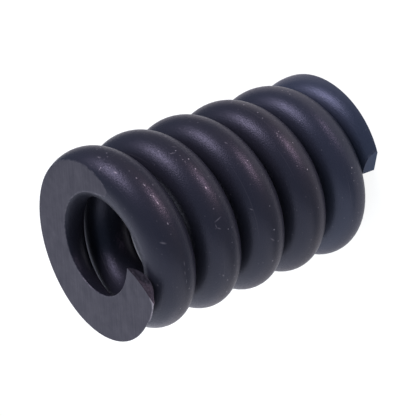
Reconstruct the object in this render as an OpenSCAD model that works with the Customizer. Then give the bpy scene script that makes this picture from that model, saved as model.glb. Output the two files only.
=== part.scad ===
// Heavy compression spring for a loader's quick attach lever.
// One length of round spring steel wire, wound right-handed, with both end turns closed and ground flat.
// It stands on its lower ground end, with the coil's axis on +Z and the origin at the middle of that end.

/* [Wire and coil] */
// Diameter of the round wire, mm
wire_diameter = 10.5; // [7:0.1:14]
// Diameter of the coil at the middle of the wire, mm
mean_diameter = 31; // [28:0.5:50]
// Turns from tip to tip
turns = 5.97; // [4:0.01:9]
// Clear gap between two open turns, mm
turn_gap = 1.6; // [0.8:0.1:8]

/* [Closed end turns] */
// Stretch of each end that lies at the closed pitch, in turns
closed_turns = 0.72; // [0.5:0.01:0.75]
// Stretch over which the open pitch eases into the closed one, in turns
easing_turns = 0.4; // [0.2:0.05:0.5]
// Gap between the upper tip and the turn under it, mm
upper_tip_gap = 0.3; // [0.2:0.05:0.8]
// Gap between the lower tip and the turn over it, mm
lower_tip_gap = 0.5; // [0.2:0.05:0.8]

/* [Ground and cropped ends] */
// Thickness that grinding leaves at the upper tip, mm
upper_tip_thickness = 2; // [1:0.1:4]
// Thickness that grinding leaves at the lower tip, mm
lower_tip_thickness = 2.7; // [1:0.1:4]
// How far the crop at the upper tip slants back on the coil's outside, mm
upper_crop_setback = 4; // [0:0.5:12]
// How far the crop at the lower tip slants back on the coil's outside, mm
lower_crop_setback = 0.5; // [0:0.5:12]
// How far in from the coil's outside the bevel on the lower tip lies, mm
lower_bevel_depth = 4.2; // [2:0.1:5]
// Angle by which that bevel looks past the tip, degrees
lower_bevel_turn = 22; // [15:1:30]
// Angle by which that bevel leans in towards the turn above, degrees
lower_bevel_lean = 20; // [0:1:30]

/* [Smoothness] */
// Sides round the wire
wire_sides = 22; // [12:2:26]
// Rings of points along one turn
rings_per_turn = 40; // [24:1:44]

/* [Hidden] */
wire_radius = wire_diameter / 2;
mean_radius = mean_diameter / 2;
outer_diameter = mean_diameter + wire_diameter;
open_pitch = wire_diameter + turn_gap;
// Rise per turn that each end loses where it is closed
upper_closing = (turn_gap - upper_tip_gap) / closed_turns;
lower_closing = (turn_gap - lower_tip_gap) / closed_turns;
lower_tip_height = lower_tip_thickness - wire_radius;
upper_tip_height = wire_height(turns);
free_length = upper_tip_height - wire_radius + upper_tip_thickness;
last_ring = round(turns * rings_per_turn);
finish_colour = "#34353d";

// Area under a step that eases from 0 to 1 about x = 0, with x in turns
function eased(x) =
    let (s = x / easing_turns + 0.5)
    s <= 0 ? 0 : s >= 1 ? x : easing_turns * (pow(s, 3) - pow(s, 4) / 2);

// Height of the wire's middle, u turns from the lower tip
function wire_height(u) =
    lower_tip_height + open_pitch * u
    - lower_closing * (u - eased(u - closed_turns))
    - upper_closing * eased(u - turns + closed_turns);

// Angle round the axis: the upper tip is at zero, on +X
function wire_angle(u) = 360 * (u - turns);

// Middle of the wire, u turns from the lower tip
function wire_middle(u) =
    let (a = wire_angle(u))
    [mean_radius * cos(a), mean_radius * sin(a), wire_height(u)];

// Direction in which the wire runs up the coil
function wire_run(u) =
    let (step = 0.001, d = wire_middle(u + step) - wire_middle(u - step))
    d / norm(d);

// Point on the wire's surface, u turns along it and an angle round it from the coil's outside
function surface_point(u, around) =
    let (a = wire_angle(u), out = [cos(a), sin(a), 0], up = cross(out, wire_run(u)))
    wire_middle(u) + wire_radius * (cos(around) * out + sin(around) * up);

// Turns that a crop takes off the wire: none inside the coil, the whole setback on its outside
function crop(setback, around) = setback / (PI * mean_diameter) * (1 + cos(around)) / 2;

// Round wire swept along the coil, as it is when it has been coiled and cropped
module coiled_wire() {
    sides = [0:wire_sides - 1];
    points = [
        for (k = [0:last_ring], i = sides)
            let (around = 360 * i / wire_sides)
            let (start = crop(lower_crop_setback, around), end = turns - crop(upper_crop_setback, around))
            surface_point(start + (end - start) * k / last_ring, around)
    ];
    wall = [
        for (k = [0:last_ring - 1], i = sides)
            let (here = wire_sides * k, next = here + wire_sides, j = (i + 1) % wire_sides)
            [here + i, next + i, next + j, here + j]
    ];
    // Each cropped end is a row of strips across the wire, from the coil's outside to its inside
    half = wire_sides / 2;
    strips = [
        [0, 1, wire_sides - 1],
        for (i = [1:half - 2]) [i, i + 1, wire_sides - i - 1, wire_sides - i],
        [half - 1, half, half + 1]
    ];
    upper_strips = [for (s = strips) [for (i = [len(s) - 1:-1:0]) wire_sides * last_ring + s[i]]];
    polyhedron(points, concat(strips, upper_strips, wall), convexity = 10);
}

// What the grinding wheel takes off above height z, as a block
module ground_off(z) {
    width = outer_diameter + 2 * wire_diameter;
    translate([-width / 2, -width / 2, z])
        cube([width, width, wire_diameter]);
}

// What the bevel takes off the outer corner of the lower tip, from below it to half way up the gap above it
module bevelled_off() {
    below = wire_diameter;
    past_tip = 1;
    above = lower_tip_thickness + lower_tip_gap / 2;
    intersection() {
        rotate(wire_angle(0) - lower_bevel_turn)
            translate([outer_diameter / 2 - lower_bevel_depth, 0, 0])
                rotate([0, -lower_bevel_lean, 0])
                    translate([0, -outer_diameter, -2 * below])
                        cube([outer_diameter, 2 * outer_diameter, 4 * below]);
        rotate(wire_angle(0))
            translate([0, -past_tip, -below])
                cube([outer_diameter, outer_diameter / 2, above + below]);
    }
}

// The coil with both ends ground flat and square to its axis, and its lower tip bevelled
module coil_spring() {
    color(finish_colour)
        difference() {
            coiled_wire();
            ground_off(free_length);
            ground_off(-wire_diameter);
            bevelled_off();
        }
}

coil_spring();
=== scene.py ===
"""Looks of a heavy compression spring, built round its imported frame.

The spring is one piece: round wire carried along a right-handed helix, with both end turns closed,
cropped and ground flat. One surface is worked out as a grid of rings along the wire, and three
finishes dress it: the blackened wire, the ground faces and the cropped tip.
"""

from __future__ import annotations

import logging
import math
from dataclasses import dataclass, field
from enum import Enum, IntEnum
from typing import Any

import bpy
import numpy as np
from mathutils import Matrix, Quaternion, Vector

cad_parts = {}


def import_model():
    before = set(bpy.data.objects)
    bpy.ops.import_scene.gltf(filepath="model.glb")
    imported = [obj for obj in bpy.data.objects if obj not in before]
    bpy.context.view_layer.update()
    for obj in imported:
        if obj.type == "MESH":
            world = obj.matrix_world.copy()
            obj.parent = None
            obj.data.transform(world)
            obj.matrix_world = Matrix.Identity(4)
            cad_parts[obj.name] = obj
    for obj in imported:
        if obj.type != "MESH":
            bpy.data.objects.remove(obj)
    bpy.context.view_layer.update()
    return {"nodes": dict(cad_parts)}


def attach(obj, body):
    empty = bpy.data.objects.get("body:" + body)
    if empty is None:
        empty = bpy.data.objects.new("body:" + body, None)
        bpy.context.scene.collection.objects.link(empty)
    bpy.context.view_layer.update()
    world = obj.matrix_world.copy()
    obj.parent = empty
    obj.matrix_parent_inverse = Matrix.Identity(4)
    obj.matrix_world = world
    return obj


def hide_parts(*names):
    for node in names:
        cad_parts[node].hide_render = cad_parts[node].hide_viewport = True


LOG = logging.getLogger("coil_spring_looks")
MM = 0.001
IMAGE_SIDE_PX = 416
BODY = "root"
NODE = "coil_spring"
LAY = "wire_lay"
EDGE = "edge_wear_and_highlight"
SEAM_DEG = 57.0

Triple = tuple[float, float, float]


class End(Enum):
    """The two ends of the wire, with the side of the coil that each one faces."""

    LOWER = -1
    UPPER = 1


class Side(Enum):
    """The two sides of the wire, seen from the coil's axis."""

    INNER = -1
    OUTER = 1


class Skin(IntEnum):
    """The finishes on the wire, in the order of the piece's material slots."""

    WIRE = 0
    GROUND = 1
    CROPPED = 2


def linear(colour: str) -> tuple[float, float, float, float]:
    """Turns an sRGB hex colour into linear light.

    Args:
        colour: Six hex digits after a hash sign.

    Returns:
        Red, green, blue and an alpha of one.
    """
    shares = [int(colour[i : i + 2], 16) / 255 for i in (1, 3, 5)]
    light = [s / 12.92 if s <= 0.04045 else ((s + 0.055) / 1.055) ** 2.4 for s in shares]
    return (light[0], light[1], light[2], 1.0)


def per_metre(size_mm: float) -> float:
    """Scale of a pattern on metre coordinates whose features are this many millimetres wide."""
    return 1 / (size_mm * MM)


def add_node(tree: bpy.types.NodeTree, kind: str, feeds: dict[Any, Any], **settings: Any) -> bpy.types.Node:
    """Adds one shader node with its settings and what feeds it.

    Args:
        tree: The node tree that takes the node.
        kind: Type of the node.
        feeds: For each input's name or number, the socket that feeds it or a plain value.
        settings: Values set on the node itself.

    Returns:
        The new node.
    """
    node = tree.nodes.new(kind)
    for name, value in settings.items():
        setattr(node, name, value)
    for name, source in feeds.items():
        if isinstance(source, bpy.types.NodeSocket):
            tree.links.new(source, node.inputs[name])
        else:
            node.inputs[name].default_value = source
    return node


def new_material(name: str) -> tuple[bpy.types.Material, bpy.types.NodeTree]:
    """Makes an empty node material.

    Args:
        name: The material's name.

    Returns:
        The material and its node tree, with no nodes in it.
    """
    material = bpy.data.materials.new(name)
    material.use_nodes = True
    material.node_tree.nodes.clear()
    return material, material.node_tree


def ramp(
    tree: bpy.types.NodeTree, source: Any, start: float, stop: float, low: float = 0.0, high: float = 1.0
) -> bpy.types.NodeSocket:
    """Adds a straight ramp that is held at both ends.

    Args:
        tree: The node tree.
        source: Socket with the number to follow.
        start: Where the ramp starts.
        stop: Where the ramp stops.
        low: Value up to its start.
        high: Value from its stop on.

    Returns:
        Socket with the ramp's value.
    """
    return add_node(tree, "ShaderNodeMapRange", {0: source, 1: start, 2: stop, 3: low, 4: high}).outputs[0]


def reckon(tree: bpy.types.NodeTree, operation: str, *values: Any) -> bpy.types.NodeSocket:
    """Adds one operation on numbers.

    Args:
        tree: The node tree.
        operation: What is done with the values.
        values: Sockets or plain numbers, in order.

    Returns:
        Socket with the result.
    """
    return add_node(tree, "ShaderNodeMath", dict(enumerate(values)), operation=operation).outputs[0]


def blend(tree: bpy.types.NodeTree, share: Any, first: Any, second: Any) -> bpy.types.NodeSocket:
    """Mixes two colours.

    Args:
        tree: The node tree.
        share: Socket with the second colour's share.
        first: Socket or linear colour where the share is 0.
        second: Socket or linear colour where the share is 1.

    Returns:
        Socket with the mixed colour.
    """
    return add_node(tree, "ShaderNodeMix", {0: share, 6: first, 7: second}, data_type="RGBA").outputs[2]


def clouds(
    tree: bpy.types.NodeTree, place: Any, scale: float, detail: float, roughness: float = 0.5
) -> bpy.types.NodeSocket:
    """Adds soft noise about a half.

    Args:
        tree: The node tree.
        place: Socket with the coordinates.
        scale: Features in one unit of the coordinates.
        detail: Finer layers on top of the first.
        roughness: How much each finer layer counts.

    Returns:
        Socket with the noise.
    """
    feeds = {"Vector": place, "Scale": scale, "Detail": detail, "Roughness": roughness}
    return add_node(tree, "ShaderNodeTexNoise", feeds).outputs[0]


def bumped(tree: bpy.types.NodeTree, relief: Any, depth_mm: float) -> bpy.types.NodeSocket:
    """Adds a bumped normal.

    Args:
        tree: The node tree.
        relief: Socket with the height, as a share of the depth.
        depth_mm: Depth of the relief.

    Returns:
        Socket with the normal.
    """
    feeds = {"Height": relief, "Strength": 1.0, "Distance": depth_mm * MM}
    return add_node(tree, "ShaderNodeBump", feeds).outputs[0]


def smooth_step(share: np.ndarray) -> np.ndarray:
    """Eases a share from 0 to 1: three times its square less twice its cube, held at both ends."""
    held = np.clip(share, 0, 1)
    return 3 * held**2 - 2 * held**3


@dataclass(frozen=True)
class WireCoil:
    """The wire's path and section. Lengths are in millimetres and places along the wire in turns."""

    wire_diameter: float = 10.5
    mean_diameter: float = 31.0
    turns: float = 5.97
    turn_gap: float = 1.6
    closed_turns: float = 0.72
    easing_turns: float = 0.4
    upper_tip_gap: float = 0.3
    lower_tip_gap: float = 0.5
    upper_tip_thickness: float = 2.0
    lower_tip_thickness: float = 2.7
    upper_crop_setback: float = 4.0
    lower_crop_setback: float = 0.5
    lower_bevel_depth: float = 4.2
    lower_bevel_turn_deg: float = 22.0
    lower_bevel_lean_deg: float = 20.0
    crop_reach: float = 0.35
    rounds: int = 4
    halvings: int = 40

    @property
    def radius(self) -> float:
        """Radius of the wire."""
        return self.wire_diameter / 2

    @property
    def turn_length(self) -> float:
        """Length of one turn along the coil's mean circle."""
        return math.pi * self.mean_diameter

    @property
    def free_length(self) -> float:
        """Height of the upper ground face."""
        tip = self.height(np.array(self.turns))
        return float(tip) - self.radius + self.upper_tip_thickness

    def eased(self, x: np.ndarray) -> np.ndarray:
        """Area under a step that eases from 0 to 1 about x = 0.

        With s as the share of the easing that has passed, it is the easing times s cubed, less half
        the easing times s to the fourth.

        Args:
            x: Turns from the step's middle.

        Returns:
            The area, in turns.
        """
        s = np.clip(x / self.easing_turns + 0.5, 0, 1)
        return np.where(s < 1, self.easing_turns * (s**3 - s**4 / 2), x)

    def height(self, u: np.ndarray) -> np.ndarray:
        """Height of the wire's middle: the open pitch times the turns, less what each closed end loses.

        Args:
            u: Turns from the lower tip.

        Returns:
            Heights over the lower ground face.
        """
        lower_closing = (self.turn_gap - self.lower_tip_gap) / self.closed_turns
        upper_closing = (self.turn_gap - self.upper_tip_gap) / self.closed_turns
        start = self.lower_tip_thickness - self.radius
        open_rise = (self.wire_diameter + self.turn_gap) * u
        lower_loss = lower_closing * (u - self.eased(u - self.closed_turns))
        upper_loss = upper_closing * self.eased(u - self.turns + self.closed_turns)
        return start + open_rise - lower_loss - upper_loss

    def rise(self, u: np.ndarray) -> np.ndarray:
        """Rise of the wire per turn, as a central difference of its height."""
        step = 0.001
        return (self.height(u + step) - self.height(u - step)) / (2 * step)

    def upright(self, u: np.ndarray) -> np.ndarray:
        """Share of a section's height that is straight up: a turn's length over the wire's run in it."""
        return self.turn_length / np.hypot(self.rise(u), self.turn_length)

    def bevel(self, x: np.ndarray, y: np.ndarray) -> np.ndarray:
        """Place along the wire at which a line of its section comes out of the lower tip's bevel.

        The bevel is a plane that leans in with height. A line at some radius meets it where that
        radius times the cosine of its angle from the bevel's middle equals the plane's distance
        from the axis. The height at that place is worked out anew in each round.

        Args:
            x: Distance outwards from the wire's middle.
            y: Distance up the section from the wire's middle.

        Returns:
            Turns from the lower tip, 0 where the bevel misses the line.
        """
        reach = self.mean_diameter / 2 + x
        foot = (self.mean_diameter + self.wire_diameter) / 2 - self.lower_bevel_depth
        slope = math.tan(math.radians(self.lower_bevel_lean_deg))
        start = np.zeros(np.broadcast(x, y).shape)
        for _ in range(self.rounds):
            level = self.height(start) + y * self.upright(start)
            tilt = y * self.rise(start) / self.turn_length * self.upright(start) / reach
            angle = np.arccos(np.clip((foot - slope * level) / reach, -1, 1)) + tilt
            start = np.maximum(angle - math.radians(self.lower_bevel_turn_deg), 0) / (2 * math.pi)
        return start

    def along(self, v: np.ndarray, x: np.ndarray, y: np.ndarray) -> np.ndarray:
        """Place along the wire of a point in a ring that leans into the crop near each tip.

        The lean is the setback times the point's share of the way from the wire's inner side to its
        outer side, or the bevel where that is more. It fades out over the crop's reach.

        Args:
            v: Turns from the lower tip to the ring.
            x: Distance of the point outwards from the wire's middle.
            y: Distance of the point up the section from the wire's middle.

        Returns:
            Turns from the lower tip to the point.
        """
        share = (1 + x / self.radius) / 2 / self.turn_length
        near_lower = smooth_step(1 - v / self.crop_reach)
        near_upper = smooth_step(1 - (self.turns - v) / self.crop_reach)
        lower = np.maximum(self.lower_crop_setback * share, self.bevel(x, y))
        return v + lower * near_lower - self.upper_crop_setback * share * near_upper

    def place(self, v: np.ndarray, x: np.ndarray, y: np.ndarray) -> np.ndarray:
        """Point of the wire: its middle on the helix, plus x outwards and y square to that and to the run.

        Args:
            v: Turns from the lower tip to the ring.
            x: Distance outwards from the wire's middle.
            y: Distance up the section from the wire's middle.

        Returns:
            Points in millimetres, with x, y and z on the last axis.
        """
        u = self.along(v, x, y)
        angle = 2 * math.pi * (u - self.turns)
        rise = self.rise(u)
        run = np.hypot(rise, self.turn_length)
        cosine, sine = np.cos(angle), np.sin(angle)
        reach = self.mean_diameter / 2 + x
        across = reach * cosine + y * rise / run * sine
        away = reach * sine - y * rise / run * cosine
        return np.stack([across, away, self.height(u) + y * self.turn_length / run], axis=-1)

    def wheel(self, v: np.ndarray, x: np.ndarray, end: End) -> np.ndarray:
        """Distance up the section at which a ring meets an end's ground plane, bettered in a few rounds.

        Args:
            v: Turns from the lower tip to the ring.
            x: Distance outwards from the wire's middle.
            end: Which ground plane.

        Returns:
            The plane's height over the wire's middle, divided by the section's upright share.
        """
        plane = self.free_length if end is End.UPPER else 0.0
        y = plane - self.height(v) + np.zeros_like(x)
        for _ in range(self.rounds):
            u = self.along(v, x, y)
            y = (plane - self.height(u)) / self.upright(u)
        return y

    def rim_angle(self, v: np.ndarray, side: Side, end: End) -> np.ndarray:
        """Angle, from level towards an end, at which a ring's rim meets that end's ground plane.

        The range from straight back to straight towards the end is halved until the rim's height
        equals the plane's. A ring that misses the plane gives a quarter turn.

        Args:
            v: Turns from the lower tip to each ring.
            side: Side of the wire.
            end: Which ground plane.

        Returns:
            Angles in radians.
        """
        low = np.full(v.shape, -math.pi / 2)
        high = np.full(v.shape, math.pi / 2)
        for _ in range(self.halvings):
            middle = (low + high) / 2
            x = side.value * self.radius * np.cos(middle)
            kept = end.value * self.wheel(v, x, end) > self.radius * np.sin(middle)
            low = np.where(kept, middle, low)
            high = np.where(kept, high, middle)
        return (low + high) / 2


@dataclass(frozen=True)
class SteelFinish:
    """What the finishes share: spring steel under a thin black oxide, part metal and part matt body."""

    metal_share: float = 0.4
    edge_tint: str = "#b0aab8"
    bare: str = "#9a9298"
    wear_patch_mm: float = 0.8

    def surface(self, tree: bpy.types.NodeTree, colour: Any, roughness: Any, normal: Any) -> None:
        """Adds the shader and the material's output.

        Args:
            tree: The material's node tree.
            colour: Socket with the colour.
            roughness: Socket or number for the roughness.
            normal: Socket with the bumped normal.
        """
        shader = add_node(
            tree, "ShaderNodeBsdfPrincipled",
            {
                "Base Color": colour, "Roughness": roughness, "Normal": normal,
                "Metallic": self.metal_share, "Specular Tint": linear(self.edge_tint),
            },
        )
        add_node(tree, "ShaderNodeOutputMaterial", {"Surface": shader.outputs[0]})

    def worn_and_highlit_edges(self, tree: bpy.types.NodeTree) -> bpy.types.NodeSocket:
        """Adds the bright wear on sharp edges: the mesh's edge attribute, broken into patches. On the
        burr beside the upper tip this brightness is partly a painted highlight.

        Args:
            tree: The material's node tree.

        Returns:
            Socket that is 1 where an edge is rubbed bare.
        """
        edge = add_node(tree, "ShaderNodeAttribute", {}, attribute_name=EDGE).outputs["Fac"]
        place = add_node(tree, "ShaderNodeTexCoord", {}).outputs["Object"]
        patches = clouds(tree, place, per_metre(self.wear_patch_mm), 2.0)
        return ramp(tree, reckon(tree, "MULTIPLY", edge, patches), 0.1, 0.6)


@dataclass(frozen=True)
class Nick:
    """A scratch or dent from handling: its place on the wire, its size and its slant off the wire's run."""

    turn: float
    around_deg: float
    length_mm: float
    width_mm: float
    slant_deg: float
    strength: float = 0.3

    def mask(
        self, tree: bpy.types.NodeTree, lay: bpy.types.NodeSocket, coil: WireCoil
    ) -> bpy.types.NodeSocket:
        """Adds a soft ellipse on the wire's map: its strength inside, and 0 from its rim outwards.

        Args:
            tree: The material's node tree.
            lay: Socket with the wire's map, in metres along and around it.
            coil: The wire's path and section.

        Returns:
            Socket with the mask.
        """
        angle = math.radians(self.around_deg + (360 if self.around_deg < SEAM_DEG else 0))
        centre = (self.turn * coil.turn_length * MM, angle * coil.radius * MM, 0.0)
        own = add_node(
            tree, "ShaderNodeMapping",
            {
                "Vector": lay, "Location": centre, "Rotation": (0.0, 0.0, math.radians(self.slant_deg)),
                "Scale": (self.length_mm * MM / 2, self.width_mm * MM / 2, 1.0),
            },
            vector_type="TEXTURE",
        )
        reach = add_node(tree, "ShaderNodeVectorMath", {0: own.outputs[0]}, operation="LENGTH")
        return ramp(tree, reach.outputs["Value"], 0.2, 1.0, self.strength, 0.0)


@dataclass(frozen=True)
class BlackenedWire(SteelFinish):
    """Drawn spring steel, blackened in hot salts and oiled.

    The eye gets a near-black satin with a soft sheen. Its black clouds towards brown along the coil's
    outermost line, and a painted bluish light lies on the lowest turns. A fine grain sparkles under a
    small lamp, and specks and scratches show bare steel, most of them along the outer ridge.
    """

    name: str = "blackened_oiled_drawn_spring_steel"
    deep: str = "#2d2d37"
    brown: str = "#3b373b"
    painted_blue_light: str = "#3b4050"
    roughness_low: float = 0.28
    roughness_high: float = 0.46
    cloud_mm: float = 6.0
    grain_mm: float = 0.3
    grain_depth_mm: float = 0.045
    speck_mm: float = 1.3
    speck_radius_mm: float = 0.2
    crest_mm: float = 0.3
    ridge_mm: float = 1.8
    off_ridge_share: float = 0.15
    outer_band_mm: float = 3.2
    line_width_mm: float = 0.3
    line_length_mm: float = 22.0
    line_share: float = 0.1
    painted_blue_turns: float = 1.7
    nicks: tuple[Nick, ...] = (
        Nick(5.215, 27.0, 1.0, 0.5, 11.0),
        Nick(5.199, 49.0, 1.3, 0.3, 86.0),
        Nick(5.17, 35.0, 0.9, 0.4, 14.0),
        Nick(5.123, 7.0, 0.7, 0.4, 11.0, 0.7),
        Nick(5.1, 5.0, 0.7, 0.4, 171.0, 0.7),
        Nick(5.088, 5.0, 0.6, 0.4, 2.0, 0.7),
        Nick(5.054, 7.0, 0.5, 0.4, 30.0, 0.7),
        Nick(4.162, 18.0, 1.7, 0.3, 65.0),
        Nick(4.17, 2.0, 1.3, 0.25, 56.0),
        Nick(4.137, 11.0, 0.5, 0.4, 3.0),
        Nick(4.084, 8.0, 0.6, 0.45, 20.0, 0.7),
        Nick(3.145, 16.0, 0.8, 0.4, 30.0),
        Nick(3.027, 45.0, 1.1, 0.3, 58.0),
        Nick(4.032, 14.0, 2.2, 0.3, 102.0),
        Nick(4.018, 18.0, 1.1, 0.3, 60.0),
        Nick(4.023, 23.0, 0.9, 0.25, 5.0),
        Nick(2.129, 13.0, 0.7, 0.4, 167.0),
        Nick(5.03, 33.0, 1.6, 0.45, 65.0),
        Nick(4.985, -1.0, 1.0, 0.3, 176.0),
        Nick(4.969, 1.0, 0.9, 0.3, 5.0),
        Nick(4.953, -1.0, 1.0, 0.3, 178.0),
        Nick(3.931, 22.0, 0.7, 0.4, 45.0),
        Nick(2.963, 10.0, 1.3, 0.35, 51.0),
        Nick(4.952, 66.0, 0.6, 0.45, 54.0),
    )

    def material(self, coil: WireCoil) -> bpy.types.Material:
        """Builds the finish.

        Args:
            coil: The wire's path and section, which its map follows.

        Returns:
            The finished material.
        """
        material, tree = new_material(self.name)
        place = add_node(tree, "ShaderNodeTexCoord", {}).outputs["Object"]
        lay = add_node(tree, "ShaderNodeUVMap", {}, uv_map=LAY).outputs[0]
        parts = add_node(tree, "ShaderNodeSeparateXYZ", {0: lay})
        along, around = parts.outputs[0], parts.outputs[1]
        cloud = clouds(tree, place, per_metre(self.cloud_mm), 3.0, 0.6)
        grain = clouds(tree, place, per_metre(self.grain_mm), 2.0, 0.6)
        outermost = 2 * math.pi * coil.radius * MM
        off_crest = reckon(tree, "ABSOLUTE", reckon(tree, "SUBTRACT", around, outermost))
        # Browner along the coil's outermost line, fading out a few millimetres round the wire and broken up
        # by clouds.
        outer_band = ramp(tree, off_crest, 0.0, self.outer_band_mm * MM, 1.0, 0.0)
        ridge = ramp(tree, off_crest, self.crest_mm * MM, self.ridge_mm * MM, 1.0, self.off_ridge_share)
        browned = reckon(tree, "MULTIPLY", cloud, outer_band)
        body = blend(tree, browned, linear(self.deep), linear(self.brown))
        # Painted bluish light on the lowest turns, fading out up the wire.
        painted_blue_share = ramp(tree, along, 0.0, self.painted_blue_turns * coil.turn_length * MM, 1.0, 0.0)
        with_painted_blue = blend(tree, painted_blue_share, body, linear(self.painted_blue_light))
        bare = self.bare_steel(tree, place, lay, ridge, coil)
        colour = blend(tree, bare, with_painted_blue, linear(self.bare))
        relief = reckon(tree, "MULTIPLY_ADD", bare, 0.5, grain)
        sheen = ramp(tree, grain, 0.3, 0.7, self.roughness_low, self.roughness_high)
        self.surface(tree, colour, sheen, bumped(tree, relief, self.grain_depth_mm))
        return material

    def bare_steel(
        self, tree: bpy.types.NodeTree, place: bpy.types.NodeSocket, lay: bpy.types.NodeSocket,
        ridge: bpy.types.NodeSocket, coil: WireCoil,
    ) -> bpy.types.NodeSocket:
        """Adds all that shows bare steel: specks on the ridge, drawing lines, nicks and worn edges.

        Args:
            tree: The material's node tree.
            place: Socket with the object's coordinates.
            lay: Socket with the wire's map.
            ridge: Socket that is highest on the coil's outermost line.
            coil: The wire's path and section.

        Returns:
            Socket with the share of bare steel.
        """
        cells = add_node(tree, "ShaderNodeTexVoronoi", {"Vector": place, "Scale": per_metre(self.speck_mm)})
        size = self.speck_radius_mm / self.speck_mm
        near = ramp(tree, cells.outputs["Distance"], 0.4 * size, size, 1.0, 0.0)
        chosen = ramp(tree, cells.outputs["Color"], 0.35, 0.7)
        specks = reckon(tree, "MULTIPLY", reckon(tree, "MULTIPLY", near, ridge), chosen)
        drawn = add_node(
            tree, "ShaderNodeMapping",
            {"Vector": lay, "Scale": (per_metre(self.line_length_mm), per_metre(self.line_width_mm), 1.0)},
        )
        lines = ramp(tree, clouds(tree, drawn.outputs[0], 1.0, 1.0), 0.68, 0.8, 0.0, self.line_share)
        share = reckon(tree, "MAXIMUM", specks, lines)
        for nick in self.nicks:
            share = reckon(tree, "MAXIMUM", share, nick.mask(tree, lay, coil))
        return reckon(tree, "MAXIMUM", share, self.worn_and_highlit_edges(tree))


@dataclass(frozen=True)
class GroundFace(SteelFinish):
    """The same steel, ground on a wheel before it was blackened.

    The eye gets an even matt grey with fine straight wheel marks and faint stains, with a painted bluish
    light over it towards the spring's lower end.
    """

    name: str = "ground_blackened_spring_steel"
    deep: str = "#33313a"
    pale: str = "#4a474e"
    roughness: float = 0.48
    mark_width_mm: float = 0.35
    mark_length_mm: float = 12.0
    mark_depth_mm: float = 0.012
    mark_turn_deg: float = 4.0
    stain_mm: float = 3.0
    painted_blue_light: str = "#434c60"
    painted_blue_below_mm: float = 8.0
    wear_patch_mm: float = 0.9

    def material(self, coil: WireCoil) -> bpy.types.Material:
        """Builds the finish.

        Args:
            coil: The wire's path and section.

        Returns:
            The finished material.
        """
        material, tree = new_material(self.name)
        place = add_node(tree, "ShaderNodeTexCoord", {}).outputs["Object"]
        sizes_mm = (self.mark_width_mm, self.mark_length_mm, coil.wire_diameter)
        lay = add_node(
            tree, "ShaderNodeMapping",
            {
                "Vector": place,
                "Rotation": (0.0, 0.0, math.radians(self.mark_turn_deg)),
                "Scale": tuple(per_metre(size) for size in sizes_mm),
            },
        )
        marks = clouds(tree, lay.outputs[0], 1.0, 3.0, 0.65)
        stains = clouds(tree, place, per_metre(self.stain_mm), 4.0, 0.7)
        share = ramp(tree, reckon(tree, "ADD", marks, stains), 0.7, 1.3)
        body = blend(tree, share, linear(self.deep), linear(self.pale))
        height = add_node(tree, "ShaderNodeSeparateXYZ", {0: place}).outputs[2]
        # Painted bluish light on the ground face near the spring's lower end.
        painted_blue_near_floor = ramp(tree, height, 0.0, self.painted_blue_below_mm * MM, 1.0, 0.0)
        with_painted_blue = blend(tree, painted_blue_near_floor, body, linear(self.painted_blue_light))
        colour = blend(tree, self.worn_and_highlit_edges(tree), with_painted_blue, linear(self.bare))
        self.surface(tree, colour, self.roughness, bumped(tree, marks, self.mark_depth_mm))
        return material


@dataclass(frozen=True)
class CroppedTip(SteelFinish):
    """The same steel where shears cropped the wire's upper tip.

    The eye gets a torn, dull face with a brown cast, and a bright burr on its rim that is partly bare
    steel and partly a painted highlight.
    """

    name: str = "sheared_blackened_spring_steel"
    deep: str = "#232126"
    pale: str = "#433e45"
    roughness: float = 0.5
    tear_mm: float = 0.7
    tear_depth_mm: float = 0.1
    wear_patch_mm: float = 0.7

    def material(self, coil: WireCoil) -> bpy.types.Material:
        """Builds the finish.

        Args:
            coil: The wire's path and section.

        Returns:
            The finished material.
        """
        material, tree = new_material(self.name)
        place = add_node(tree, "ShaderNodeTexCoord", {}).outputs["Object"]
        sizes_mm = (self.tear_mm, self.tear_mm, coil.radius / 3)
        across = add_node(
            tree, "ShaderNodeMapping",
            {"Vector": place, "Scale": tuple(per_metre(size) for size in sizes_mm)},
        )
        tears = clouds(tree, across.outputs[0], 1.0, 4.0, 0.6)
        body = blend(tree, tears, linear(self.deep), linear(self.pale))
        colour = blend(tree, self.worn_and_highlit_edges(tree), body, linear(self.bare))
        self.surface(tree, colour, self.roughness, bumped(tree, tears, self.tear_depth_mm))
        return material


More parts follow.
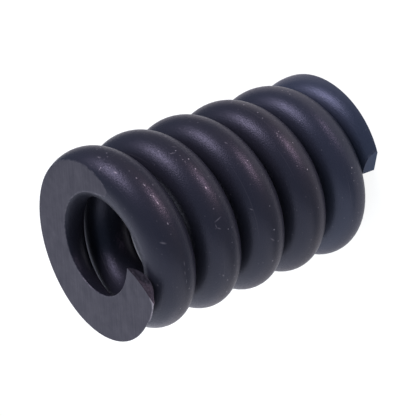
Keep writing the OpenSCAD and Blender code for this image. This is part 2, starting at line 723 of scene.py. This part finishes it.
@dataclass(frozen=True)
class SurfaceGrid:
    """Rows of points over the spring: the lower tip's face, the wall of rings and the upper tip's face.

    Places along the wire are in turns, and the section's x and y in millimetres. A pole closes each
    tip's face at its middle. For the upper and then the lower end, ground tells which rings of the
    wall the wheel has met.
    """

    v: np.ndarray
    x: np.ndarray
    y: np.ndarray
    poles: np.ndarray
    ground: np.ndarray
    face_rows: int

    @property
    def rows(self) -> int:
        """Rows of points."""
        return self.x.shape[0]

    @property
    def columns(self) -> int:
        """Points in one row."""
        return self.x.shape[1]

    @property
    def wall(self) -> slice:
        """Rows of the wall, from rim to rim."""
        return slice(self.face_rows, self.rows - self.face_rows)

    @property
    def between_rings(self) -> slice:
        """Rows of faces between the rings of the wall."""
        return slice(self.face_rows, self.rows - self.face_rows - 1)

    def corners(self) -> tuple[np.ndarray, np.ndarray]:
        """Places of each quad's corners. A column runs one past the last where a row closes on itself.

        Returns:
            Rows and columns, four to a quad.
        """
        k, i = np.meshgrid(np.arange(self.rows - 1), np.arange(self.columns), indexing="ij")
        corner_rows = np.stack([k, k + 1, k + 1, k], axis=-1).reshape(-1, 4)
        corner_columns = np.stack([i, i, i + 1, i + 1], axis=-1).reshape(-1, 4)
        return corner_rows, corner_columns

    def faces(self) -> list[list[int]]:
        """Quads between neighbouring rows, then the triangles round the lower and the upper pole.

        Returns:
            The numbers of each face's points.
        """
        corner_rows, corner_columns = self.corners()
        quads = corner_rows * self.columns + corner_columns % self.columns
        first = np.arange(self.columns)
        second = (first + 1) % self.columns
        last_row = (self.rows - 1) * self.columns
        pole = np.full(self.columns, self.rows * self.columns)
        low_fan = np.stack([pole, first, second], axis=-1)
        high_fan = np.stack([last_row + first, pole + 1, last_row + second], axis=-1)
        return quads.tolist() + low_fan.tolist() + high_fan.tolist()


@dataclass(frozen=True)
class CoilSpring:
    """The spring as one closed surface: rings along the wire, closed by a face of many rows at each tip."""

    coil: WireCoil = field(default_factory=WireCoil)
    wire_finish: BlackenedWire = field(default_factory=BlackenedWire)
    ground_finish: GroundFace = field(default_factory=GroundFace)
    crop_finish: CroppedTip = field(default_factory=CroppedTip)
    rings_per_turn: int = 80
    search_steps: int = 20000
    band_steps: int = 20
    arc_steps: int = 34
    cap_rows: int = 24
    tear_mm: float = 0.12
    tear_width_mm: float = 1.1
    edge_round_mm: float = 0.12
    ground_wear: float = 0.3
    burr_mm: float = 0.7
    burr_turns: float = 0.055
    burr_depth_mm: float = 1.3
    burr_wave_mm: float = 1.7
    burr_ripple: float = 0.14
    burr_edge_share: float = 0.8
    burr_rim_share: float = 0.55
    burr_wear_and_highlight: float = 0.85
    lower_wear: float = 0.3
    runout_step_deg: float = 2.0
    runout_span_deg: float = 24.0
    least_half_deg: float = 1.5
    free_spread_mm: float = 1.8
    sharp_deg: float = 16.0

    @property
    def ring_points(self) -> int:
        """Points round one ring."""
        return 2 * (self.band_steps + 1) + 2 * (self.arc_steps + 1)

    @property
    def band_starts(self) -> tuple[int, int]:
        """First columns of the bands that face the upper and the lower end."""
        return 0, self.band_steps + self.arc_steps + 2

    def ring_places(self) -> np.ndarray:
        """Places of the rings: even steps, with finer ones where each ground face runs out.

        A run-out ring stands where the wire's middle is below the wheel's plane by the radius times
        the cosine of an even step of angle, so that the face's edge is a smooth curve.

        Returns:
            Turns from the lower tip, in rising order.
        """
        coil = self.coil
        fine = np.linspace(0, coil.turns, self.search_steps + 1)
        heights = coil.height(fine)
        steps = np.radians(np.arange(0, self.runout_span_deg, self.runout_step_deg))
        drop = coil.radius * np.cos(steps)
        upper = np.interp(coil.free_length - drop, heights, fine)
        lower = np.interp(drop, heights, fine)
        even = np.linspace(0, coil.turns, round(coil.turns * self.rings_per_turn) + 1)
        return np.unique(np.concatenate([even, upper, lower]))

    def half_band(self, v: np.ndarray, side: Side, end: End) -> tuple[np.ndarray, np.ndarray]:
        """Half-angle of the band of points that faces an end, on one side of the wire.

        Where the ring is ground, the band ends on the ground face's edge. Elsewhere it has its even
        share of the ring, and shrinks towards the run-out.

        Args:
            v: Turns from the lower tip to each ring.
            side: Side of the wire.
            end: The end that the band faces.

        Returns:
            The half-angles, and whether each ring is ground there.
        """
        coil = self.coil
        cut = math.pi / 2 - coil.rim_angle(v, side, end)
        room = end.value * coil.wheel(v, np.zeros_like(v), end) - coil.radius
        even = math.pi * self.band_steps / self.ring_points
        least = math.radians(self.least_half_deg)
        free = np.maximum(even * smooth_step(room / self.free_spread_mm), least)
        return np.maximum(cut, free), cut > least

    def sections(self, v: np.ndarray) -> tuple[np.ndarray, np.ndarray, np.ndarray]:
        """Outline of the wire at each ring: two bands that face the ends, and two arcs between them.

        A band runs straight across, held under the circle and the wheel's plane. An arc runs round
        the circle at even angles. A small gap between them rounds the ground face's edge.

        Args:
            v: Turns from the lower tip to each ring.

        Returns:
            x and y of the outline, one row per ring, and for each end whether the ring is ground.
        """
        radius = self.coil.radius
        halves = {(e, s): self.half_band(v, s, e) for e in End for s in Side}
        across = np.linspace(0, 1, self.band_steps + 1)
        sweep = np.linspace(0, 1, self.arc_steps + 1)
        rows = v[:, None]
        pieces = []
        for end in (End.UPPER, End.LOWER):
            near = Side.OUTER if end is End.UPPER else Side.INNER
            far = Side.INNER if end is End.UPPER else Side.OUTER
            widths = {s: radius * np.sin(halves[end, s][0]) for s in Side}
            edges = {s: s.value * (widths[s] - self.shrink(widths[s])) for s in Side}
            x = edges[near][:, None] + (edges[far] - edges[near])[:, None] * across
            top = np.minimum(np.sqrt(radius**2 - x**2), end.value * self.coil.wheel(rows, x, end))
            pieces.append((x, end.value * top))
            other = End.LOWER if end is End.UPPER else End.UPPER
            first = math.pi / 2 - halves[end, far][0] - self.edge_round_mm / radius
            last = math.pi / 2 - halves[other, far][0] - self.edge_round_mm / radius
            angle = end.value * (first[:, None] - (first + last)[:, None] * sweep)
            pieces.append((far.value * radius * np.cos(angle), radius * np.sin(angle)))
        met = [halves[e, Side.OUTER][1] & halves[e, Side.INNER][1] for e in (End.UPPER, End.LOWER)]
        ground = np.stack(met)
        return np.hstack([p[0] for p in pieces]), np.hstack([p[1] for p in pieces]), ground

    def shrink(self, width: np.ndarray) -> np.ndarray:
        """How far a band stops short of its edge: the edge's rounding, or less where the band is narrow."""
        return np.minimum(self.edge_round_mm, 0.4 * width)

    def burr(self, v: np.ndarray, x: np.ndarray, y: np.ndarray) -> np.ndarray:
        """How far the shears' burr bulges out, on the outer edge of the ground face beside the upper tip.

        The burr waves along the wire and fades away from the tip, down the wire's side and in across
        the face.

        Args:
            v: Turns from the lower tip to each ring.
            x: Distance outwards from the wire's middle.
            y: Distance up the section.

        Returns:
            Distances outwards in millimetres.
        """
        coil = self.coil
        back = coil.turns - v
        wave = 2 * math.pi * back * coil.turn_length / self.burr_wave_mm
        ripple = 1 - self.burr_ripple * (1 - np.sin(wave + np.sin(2.3 * wave)))
        along = smooth_step(2 * (1 - back / self.burr_turns)) * ripple
        down = smooth_step(1 - (coil.wheel(v, x, End.UPPER) - y) / self.burr_depth_mm)
        across = smooth_step(1 - (self.burr_edge_share * coil.radius - x) / self.burr_depth_mm)
        return self.burr_mm * along * down * across

    def torn(self, x: np.ndarray, y: np.ndarray, inset: np.ndarray) -> np.ndarray:
        """How far the cropped face is torn in: waves across it that bend with height, and none at its rim.

        Args:
            x: Distance outwards from the wire's middle.
            y: Distance up the section.
            inset: Share of the way from the face's middle to its rim.

        Returns:
            Turns along the wire, into the steel.
        """
        wave = 2 * math.pi / self.tear_width_mm
        bend = np.sin(0.7 * wave * x) + 0.6 * np.sin(0.31 * wave * (x + y))
        waves = 0.5 + 0.3 * np.sin(wave * y + bend) + 0.2 * np.sin(1.7 * wave * x - bend)
        return self.tear_mm / self.coil.turn_length * waves * smooth_step(3 * (1 - inset))

    @staticmethod
    def tip_face(
        x: np.ndarray, y: np.ndarray, inset: np.ndarray
    ) -> tuple[np.ndarray, np.ndarray, np.ndarray]:
        """Rows of points over a tip's face: its rim, drawn in towards its middle.

        Args:
            x: Distance of the rim's points outwards from the wire's middle.
            y: Distance of the rim's points up the section.
            inset: For each row, its share of the way from the face's middle to its rim.

        Returns:
            x and y of the points, one row per share, and the middle.
        """
        middle = np.array([x.min() + x.max(), y.min() + y.max()]) / 2
        return middle[0] + (x - middle[0]) * inset, middle[1] + (y - middle[1]) * inset, middle

    def surface_grid(self) -> SurfaceGrid:
        """Works out the rings of the wall, and closes them with a face at each tip.

        Returns:
            The spring's points.
        """
        place = self.coil.place
        rings = self.ring_places()
        x, y, ground = self.sections(rings)
        x = x + self.burr(rings[:, None], x, y)
        inset = np.linspace(0, 1, self.cap_rows + 1)[1:-1, None]
        low_x, low_y, low_middle = self.tip_face(x[0], y[0], inset)
        high_x, high_y, high_middle = self.tip_face(x[-1], y[-1], inset[::-1])
        low_v = np.full(low_x.shape, rings[0])
        wall_v = np.broadcast_to(rings[:, None], x.shape)
        high_v = rings[-1] - self.torn(high_x, high_y, inset[::-1])
        return SurfaceGrid(
            v=np.vstack([low_v, wall_v, high_v]),
            x=np.vstack([low_x, x, high_x]),
            y=np.vstack([low_y, y, high_y]),
            poles=np.stack([place(rings[0], *low_middle), place(rings[-1], *high_middle)]),
            ground=ground,
            face_rows=len(inset),
        )

    def skins(self, grid: SurfaceGrid) -> np.ndarray:
        """Finish of each face: the lower tip and the bands on the wheel are ground, the upper tip cropped.

        Args:
            grid: The spring's points.

        Returns:
            Numbers of the material slots, in the order of the faces.
        """
        skins = np.full((grid.rows - 1, grid.columns), Skin.WIRE, dtype=np.int32)
        on_wheel = grid.ground[:, :-1] & grid.ground[:, 1:]
        for met, first in zip(on_wheel, self.band_starts):
            band = np.where(met, Skin.GROUND, Skin.WIRE)
            skins[grid.between_rings, first : first + self.band_steps] = band[:, None]
        skins[: grid.between_rings.start] = Skin.GROUND
        skins[grid.between_rings.stop :] = Skin.CROPPED
        fans = np.repeat(np.array([Skin.GROUND, Skin.CROPPED], dtype=np.int32), grid.columns)
        return np.concatenate([skins.ravel(), fans])

    def lay(self, grid: SurfaceGrid) -> np.ndarray:
        """Map of the wire at the corners of the faces: metres along the wire and round it, 0 on the fans.

        Args:
            grid: The spring's points.

        Returns:
            Both lengths, one row per corner.
        """
        coil = self.coil
        corner_rows, corner_columns = grid.corners()
        angle = np.unwrap(np.arctan2(grid.y, grid.x), axis=1)
        angle = np.hstack([angle, angle[:, :1] + 2 * math.pi])
        run = coil.along(grid.v, grid.x, grid.y)
        run = np.hstack([run, run[:, :1]])
        along = run[corner_rows, corner_columns] * coil.turn_length
        around = angle[corner_rows, corner_columns] * coil.radius
        quads = np.stack([along, around], axis=-1).reshape(-1, 2) * MM
        fans = np.zeros((2 * 3 * grid.columns, 2))
        return np.vstack([quads, fans]).astype(np.float32)

    def wear_and_highlight(self, grid: SurfaceGrid) -> np.ndarray:
        """Wear of the points: some on the ground edges and the lower tip's rim, most on the burr,
        whose bright rim is partly bare steel and partly a painted highlight.

        Args:
            grid: The spring's points.

        Returns:
            Shares from 0 to 1, with 0 for both poles at the end.
        """
        coil = self.coil
        wear_and_highlight = np.zeros((grid.rows, grid.columns), dtype=np.float32)
        wall = wear_and_highlight[grid.wall]
        for met, first in zip(grid.ground, self.band_starts):
            last = first + self.band_steps
            wall[:, (first - 1, first, last, last + 1)] = met[:, None] * self.ground_wear
        # Bright burr rim beside the upper tip: partly bare steel, partly a painted highlight.
        back = coil.turns - grid.v[grid.wall, :1]
        burr_highlight = self.burr_wear_and_highlight * smooth_step(2 * (1 - back / self.burr_turns))
        wall[:, (-1, 0)] = np.maximum(wall[:, (-1, 0)], burr_highlight)
        wall[0] = self.lower_wear
        # The cropped face's outer rim: the same burr, partly bare steel and partly a painted highlight.
        beyond = grid.x[grid.wall][-1] - self.burr_rim_share * coil.radius
        wall[-1] = self.burr_wear_and_highlight * smooth_step(beyond / self.burr_depth_mm)
        return np.append(wear_and_highlight.ravel(), (0.0, 0.0))

    def build(self) -> bpy.types.Object:
        """Builds the spring's mesh, with a map of the wire, its worn edges with the burr's painted
        highlight, and a finish for each face.

        Returns:
            The new object, at the origin.
        """
        grid = self.surface_grid()
        points = np.vstack([self.coil.place(grid.v, grid.x, grid.y).reshape(-1, 3), grid.poles])
        mesh = bpy.data.meshes.new(NODE)
        mesh.from_pydata((points * MM).tolist(), [], grid.faces())
        mesh.polygons.foreach_set("material_index", self.skins(grid))
        mesh.polygons.foreach_set("use_smooth", np.ones(len(mesh.polygons), dtype=bool))
        mesh.uv_layers.new(name=LAY).data.foreach_set("uv", self.lay(grid).ravel())
        wear_and_highlight = mesh.attributes.new(EDGE, "FLOAT", "POINT")
        wear_and_highlight.data.foreach_set("value", self.wear_and_highlight(grid))
        mesh.set_sharp_from_angle(angle=math.radians(self.sharp_deg))
        mesh.update()
        piece = bpy.data.objects.new("wound_spring", mesh)
        bpy.context.scene.collection.objects.link(piece)
        return piece

    def dress(self, piece: bpy.types.Object) -> None:
        """Gives the piece its finishes and ties it to the frame.

        Args:
            piece: The spring's object.
        """
        for finish in (self.wire_finish, self.ground_finish, self.crop_finish):
            piece.data.materials.append(finish.material(self.coil))
        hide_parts(NODE)
        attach(piece, BODY)


@dataclass(frozen=True)
class SoftLamp:
    """A soft box or panel: a rectangle of even light that faces a point.

    Its brightness is that of its own face, as a share of a white sheet's.
    """

    name: str
    towards: Triple
    lengthways: Triple
    distance_mm: float
    length_mm: float
    width_mm: float
    brightness: float
    colour: str = "#ffffff"
    aim_mm: Triple = (0.0, 0.0, 32.0)

    def build(self) -> bpy.types.Object:
        """Builds the lamp. Its power is pi times its area times its brightness.

        Returns:
            The lamp's object.
        """
        light = bpy.data.lights.new(self.name, "AREA")
        light.shape = "RECTANGLE"
        light.size = self.length_mm * MM
        light.size_y = self.width_mm * MM
        light.color = linear(self.colour)[:3]
        light.energy = math.pi * light.size * light.size_y * self.brightness
        lamp = bpy.data.objects.new(self.name, light)
        away = Vector(self.towards).normalized()
        length = Vector(self.lengthways)
        length = (length - away * length.dot(away)).normalized()
        lamp.location = (Vector(self.aim_mm) + away * self.distance_mm) * MM
        lamp.rotation_mode = "QUATERNION"
        lamp.rotation_quaternion = Matrix((length, away.cross(length), away)).transposed().to_quaternion()
        lamp.visible_camera = False
        bpy.context.scene.collection.objects.link(lamp)
        return lamp


@dataclass(frozen=True)
class TableTop:
    """The pale floor: a thick sheet with round corners, whose near edges lie just outside the picture.

    Where it is seen, lift is the light that it gives off by itself, and share is the part of its colour
    that still takes light and shadow.
    """

    name: str = "floor"
    low_mm: tuple[float, float] = (-265.0, -235.0)
    high_mm: tuple[float, float] = (36.0, 48.0)
    corner_mm: float = 8.0
    edge_mm: float = 1.5
    thickness_mm: float = 18.0
    drop_mm: float = 0.03
    corner_steps: int = 12
    edge_steps: int = 6
    colour: str = "#e9e9ea"
    lift: float = 0.9
    share: float = 0.3

    def outline(self, inset: np.ndarray) -> np.ndarray:
        """Outline of the sheet: a quarter circle at each corner, joined by straight sides.

        Args:
            inset: How far each row's outline lies inside the widest one.

        Returns:
            x and y in millimetres, by row and point.
        """
        low, high = np.array(self.low_mm), np.array(self.high_mm)
        quarter = np.linspace(0, math.pi / 2, self.corner_steps)
        turn = (quarter[None, :] + np.arange(4)[:, None] * math.pi / 2).ravel()
        signs = np.repeat(np.array([(1, 1), (-1, 1), (-1, -1), (1, -1)]), self.corner_steps, axis=0)
        centres = (low + high) / 2 + signs * ((high - low) / 2 - self.corner_mm)
        reach = (self.corner_mm - inset)[:, None, None]
        return centres + reach * np.stack([np.cos(turn), np.sin(turn)], axis=-1)

    def build(self) -> bpy.types.Object:
        """Builds the sheet: rows round its eased upper edge and down its side, closed above and below.

        Returns:
            The floor's object, marked as part of the set.
        """
        ease = np.linspace(0, math.pi / 2, self.edge_steps)
        inset = np.append(self.edge_mm * (1 - np.sin(ease)), 0.0)
        depth = np.append(self.edge_mm * (1 - np.cos(ease)), self.thickness_mm) + self.drop_mm
        flat = self.outline(inset)
        rows, points = flat.shape[:2]
        grid = np.concatenate([flat, np.broadcast_to(-depth[:, None, None], (rows, points, 1))], axis=-1)
        k, i = np.meshgrid(np.arange(rows - 1), np.arange(points), indexing="ij")
        j = (i + 1) % points
        here, below = k * points, (k + 1) * points
        sides = np.stack([here + i, below + i, below + j, here + j], axis=-1).reshape(-1, 4).tolist()
        top = [list(range(points))]
        bottom = [list(range(rows * points - 1, (rows - 1) * points - 1, -1))]
        mesh = bpy.data.meshes.new(self.name)
        mesh.from_pydata((grid.reshape(-1, 3) * MM).tolist(), [], top + sides + bottom)
        mesh.update()
        floor = bpy.data.objects.new(self.name, mesh)
        floor.data.materials.append(self.material())
        bpy.context.scene.collection.objects.link(floor)
        return floor

    def material(self) -> bpy.types.Material:
        """Builds a matt pale sheet that shows as white, with the spring's shadow on it.

        Returns:
            The floor's material.
        """
        material, tree = new_material("matt_white_sheet")
        path = add_node(tree, "ShaderNodeLightPath", {})
        seen = reckon(tree, "MAXIMUM", path.outputs["Is Camera Ray"], path.outputs["Is Glossy Ray"])
        shown = reckon(tree, "MAXIMUM", seen, path.outputs["Is Transmission Ray"])
        plain = add_node(tree, "ShaderNodeBsdfDiffuse", {"Color": linear(self.colour)})
        part = tuple(c * self.share for c in linear(self.colour)[:3]) + (1.0,)
        shaded = add_node(tree, "ShaderNodeBsdfDiffuse", {"Color": part})
        lift = add_node(tree, "ShaderNodeEmission", {"Strength": self.lift})
        white = add_node(tree, "ShaderNodeAddShader", {0: shaded.outputs[0], 1: lift.outputs[0]})
        mixed = add_node(tree, "ShaderNodeMixShader", {0: shown, 1: plain.outputs[0], 2: white.outputs[0]})
        add_node(tree, "ShaderNodeOutputMaterial", {"Surface": mixed.outputs[0]})
        return material


@dataclass(frozen=True)
class Studio:
    """Pale floor, soft lamps, dim room and the camera."""

    floor: TableTop = field(default_factory=TableTop)
    room_colour: str = "#cbe5ff"
    room_level: float = 0.4
    eye_mm: Triple = (207.71, 130.14, 200.08)
    look: Triple = (-0.69993, -0.44186, -0.56112)
    roll_deg: float = 111.359
    focal_px: float = 1355.52
    sensor_mm: float = 36.0
    lamps: tuple[SoftLamp, ...] = (
        SoftLamp(
            "left_box", towards=(-0.229, 0.793, 0.565), lengthways=(0.933, 0.214, 0.288),
            distance_mm=600.0, length_mm=340.0, width_mm=250.0, brightness=10.6, colour="#f8f0ff",
        ),
        SoftLamp(
            "right_box", towards=(0.536, 0.771, -0.343), lengthways=(0.674, -0.611, -0.414),
            distance_mm=600.0, length_mm=260.0, width_mm=70.0, brightness=26.0, colour="#ffe4f2",
        ),
        SoftLamp(
            "side_panel", towards=(0.0, -1.0, 0.0), lengthways=(1.0, 0.0, 0.0),
            distance_mm=150.0, length_mm=900.0, width_mm=600.0, brightness=1.1, colour="#fbfdff",
            aim_mm=(0.0, 0.0, 250.0),
        ),
    )

    def build_room(self) -> None:
        """Sets the dim even light of the room round the lamps."""
        world = bpy.data.worlds.new("room")
        world.use_nodes = True
        tree = world.node_tree
        tree.nodes.clear()
        even = add_node(
            tree, "ShaderNodeBackground", {"Color": linear(self.room_colour), "Strength": self.room_level}
        )
        add_node(tree, "ShaderNodeOutputWorld", {"Surface": even.outputs[0]})
        bpy.context.scene.world = world

    def build_camera(self) -> bpy.types.Object:
        """Builds the camera: level along its look, then rolled about it.

        Returns:
            The camera's object.
        """
        data = bpy.data.cameras.new("photo_camera")
        data.sensor_width = self.sensor_mm
        data.lens = self.focal_px * self.sensor_mm / IMAGE_SIDE_PX
        data.clip_start, data.clip_end = 0.01, 10.0
        camera = bpy.data.objects.new("photo_camera", data)
        camera.location = Vector(self.eye_mm) * MM
        level = Vector(self.look).to_track_quat("-Z", "Y")
        roll = Quaternion((0.0, 0.0, 1.0), -math.radians(self.roll_deg))
        camera.rotation_mode = "QUATERNION"
        camera.rotation_quaternion = level @ roll
        bpy.context.scene.collection.objects.link(camera)
        bpy.context.scene.camera = camera
        return camera

    def build(self) -> None:
        """Builds the whole set."""
        self.build_camera()
        self.floor.build()
        self.build_room()
        for lamp in self.lamps:
            lamp.build()
        bpy.context.scene.view_settings.view_transform = "Standard"


def main() -> None:
    """Loads the frame, builds and dresses the spring in its set, and logs the piece's face count."""
    logging.basicConfig(level=logging.INFO, format="%(name)s: %(message)s")
    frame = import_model()
    spring = CoilSpring()
    piece = spring.build()
    spring.dress(piece)
    LOG.info("%s: %d faces, in place of %s", piece.name, len(piece.data.polygons), sorted(frame["nodes"]))
    Studio().build()
    bpy.context.view_layer.update()


if __name__ == "__main__":
    main()
